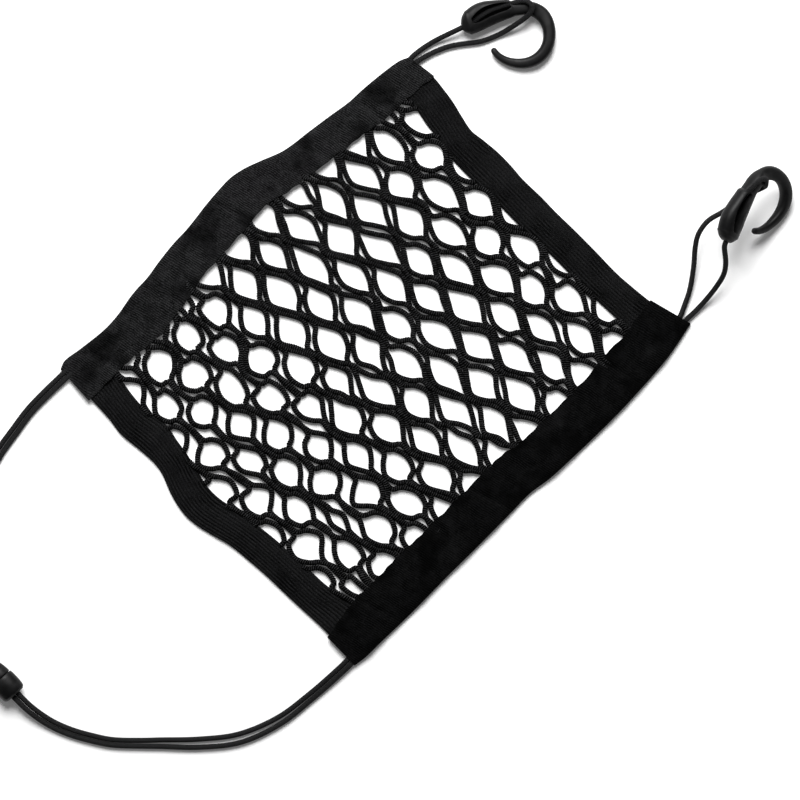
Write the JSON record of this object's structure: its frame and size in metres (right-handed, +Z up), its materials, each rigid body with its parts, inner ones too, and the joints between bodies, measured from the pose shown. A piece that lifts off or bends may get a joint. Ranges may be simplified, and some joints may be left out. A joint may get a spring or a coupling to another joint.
{
  "type": "elastic cargo net",
  "caption": "Flat elastic diamond net between two folded tape casings and ribbed elastic bands, with hooked draw cords and a cord lock.",
  "frame": {"origin": "middle of the cloth panel's plan (casings, elastics and net, without the cords), on the surface it lies on", "axes": "+X along the casings towards the hooks, +Y across towards the upper casing, +Z up"},
  "size_m": [0.5567, 0.2676, 0.0366],
  "materials": {
    "net_cord": "braided black cord",
    "casing_tape": "black twill tape",
    "ribbed_elastic": "black ribbed woven elastic",
    "draw_cord": "black braided elastic cord",
    "moulded_plastic": "satin black moulded plastic"
  },
  "bodies": {
    "root": {"net": "net_cord", "casing_upper": "casing_tape", "casing_lower": "casing_tape", "elastic_hook_end": "ribbed_elastic", "elastic_loop_end": "ribbed_elastic", "hook_cord_upper": "draw_cord", "hook_cord_lower": "draw_cord", "loop_cord_outer": "draw_cord", "loop_cord_inner": "draw_cord", "hook_upper": "moulded_plastic", "hook_lower": "moulded_plastic", "lock_barrel": "moulded_plastic", "lock_button": "moulded_plastic"}
  },
  "joints": []
}
